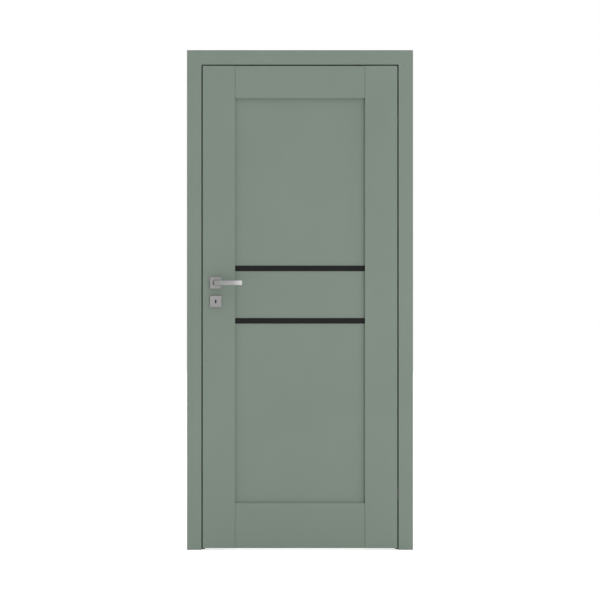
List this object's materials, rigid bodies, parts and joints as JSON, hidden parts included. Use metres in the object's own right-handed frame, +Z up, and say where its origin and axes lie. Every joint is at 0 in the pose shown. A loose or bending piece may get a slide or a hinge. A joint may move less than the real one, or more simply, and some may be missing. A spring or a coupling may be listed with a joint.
{
  "type": "interior door with frame",
  "caption": "Flush interior door in a casing frame: stile-and-rail leaf with recessed panels and black cross strips, concealed hinges, mortise lock and lever handle.",
  "frame": {"origin": "on the floor, midway between the jambs, in the leaf's middle plane", "axes": "+X across the doorway towards the hinge side, +Y through the wall from the opening side to the back, +Z up"},
  "size_m": [0.95, 0.16, 2.1],
  "materials": {
    "sage_lacquer": "satin lacquer",
    "black_strip": "satin black",
    "bare_wood": "bare beech",
    "satin_nickel": "satin nickel",
    "plain_steel": "zinc-plated",
    "screw_steel": "zinc-plated",
    "hinge_zinc": "satin die-casting",
    "moulded_plastic": "moulded",
    "seal_rubber": "matt",
    "magnet_steel": "plated"
  },
  "bodies": {
    "frame": {"jamb_hinge_side": "sage_lacquer", "jamb_lock_side": "sage_lacquer", "jamb_head": "sage_lacquer", "corner_dowels": "bare_wood", "front_casing_left": "sage_lacquer", "front_casing_right": "sage_lacquer", "front_casing_head": "sage_lacquer", "rear_casing_left": "sage_lacquer", "rear_casing_right": "sage_lacquer", "rear_casing_head": "sage_lacquer", "door_stops": "sage_lacquer", "stop_seal": "seal_rubber", "strike_plate": "plain_steel", "strike_screws": "screw_steel", "dust_box": "moulded_plastic", "strike_magnet": "magnet_steel", "hinge_upper_frame_body": "hinge_zinc", "hinge_lower_frame_body": "hinge_zinc", "hinge_frame_pins": "plain_steel", "hinge_frame_screws": "screw_steel"},
    "leaf": {"stile_hinge_side": "sage_lacquer", "stile_lock_side": "sage_lacquer", "rail_top": "sage_lacquer", "rail_bottom": "sage_lacquer", "rail_dowels": "bare_wood", "panel_upper": "sage_lacquer", "panel_middle": "sage_lacquer", "panel_lower": "sage_lacquer", "strip_upper": "black_strip", "strip_lower": "black_strip", "hinge_upper_leaf_body": "hinge_zinc", "hinge_lower_leaf_body": "hinge_zinc", "hinge_leaf_pins": "plain_steel", "hinge_leaf_screws": "screw_steel", "lock_forend": "plain_steel", "forend_screws": "screw_steel", "lock_case": "plain_steel", "lock_cover": "plain_steel", "follower_spring": "plain_steel", "rose_base_front": "moulded_plastic", "rose_base_rear": "moulded_plastic", "rose_front": "satin_nickel", "rose_rear": "satin_nickel", "rose_bolts": "plain_steel", "key_base_front": "moulded_plastic", "key_base_rear": "moulded_plastic", "key_rose_front": "satin_nickel", "key_rose_rear": "satin_nickel", "key_rose_screws": "screw_steel"},
    "lever": {"lever_front": "satin_nickel", "lever_rear": "satin_nickel", "spindle": "plain_steel", "follower": "plain_steel", "set_screws": "screw_steel"},
    "latch": {"latch_bolt": "plain_steel"},
    "deadbolt": {"deadbolt": "plain_steel"},
    "upper_frame_arm": {"hinge_upper_frame_arm": "hinge_zinc"},
    "upper_leaf_arm": {"hinge_upper_leaf_arm": "hinge_zinc"},
    "lower_frame_arm": {"hinge_lower_frame_arm": "hinge_zinc"},
    "lower_leaf_arm": {"hinge_lower_leaf_arm": "hinge_zinc"}
  },
  "joints": [
    {"name": "leaf_swing", "type": "hinge", "parent": "frame", "child": "leaf", "pos_m": [0.4115, -0.021, 1.0205], "axis": [0, 0, 1], "range_deg": [0, 105]},
    {"name": "lever_turn", "type": "hinge", "parent": "leaf", "child": "lever", "pos_m": [-0.354, 0, 1.122], "axis": [0, 1, 0], "range_deg": [0, 40], "stiffness_Nm_per_rad": 1.4, "springref_deg": -34.38, "deforming": ["follower_spring"]},
    {"name": "latch_slide", "type": "slide", "parent": "leaf", "child": "latch", "axis": [-1, 0, 0], "range_m": [0, 0.011]},
    {"name": "deadbolt_slide", "type": "slide", "parent": "leaf", "child": "deadbolt", "axis": [-1, 0, 0], "range_m": [0, 0.016]},
    {"name": "upper_frame_arm_turn", "type": "hinge", "parent": "frame", "child": "upper_frame_arm", "pos_m": [0.4185, -0.0065, 1.804], "axis": [0, 0, 1], "range_deg": [0, 105]},
    {"name": "upper_leaf_arm_turn", "type": "hinge", "parent": "leaf", "child": "upper_leaf_arm", "pos_m": [0.4045, -0.0065, 1.804], "axis": [0, 0, 1], "range_deg": [-105, 0]},
    {"name": "lower_frame_arm_turn", "type": "hinge", "parent": "frame", "child": "lower_frame_arm", "pos_m": [0.4185, -0.0065, 0.237], "axis": [0, 0, 1], "range_deg": [0, 105]},
    {"name": "lower_leaf_arm_turn", "type": "hinge", "parent": "leaf", "child": "lower_leaf_arm", "pos_m": [0.4045, -0.0065, 0.237], "axis": [0, 0, 1], "range_deg": [-105, 0]}
  ],
  "couplings": [
    {"joint": "upper_frame_arm_turn", "follows": "leaf_swing", "ratio": 1},
    {"joint": "upper_leaf_arm_turn", "follows": "leaf_swing", "ratio": -1},
    {"joint": "lower_frame_arm_turn", "follows": "leaf_swing", "ratio": 1},
    {"joint": "lower_leaf_arm_turn", "follows": "leaf_swing", "ratio": -1}
  ]
}
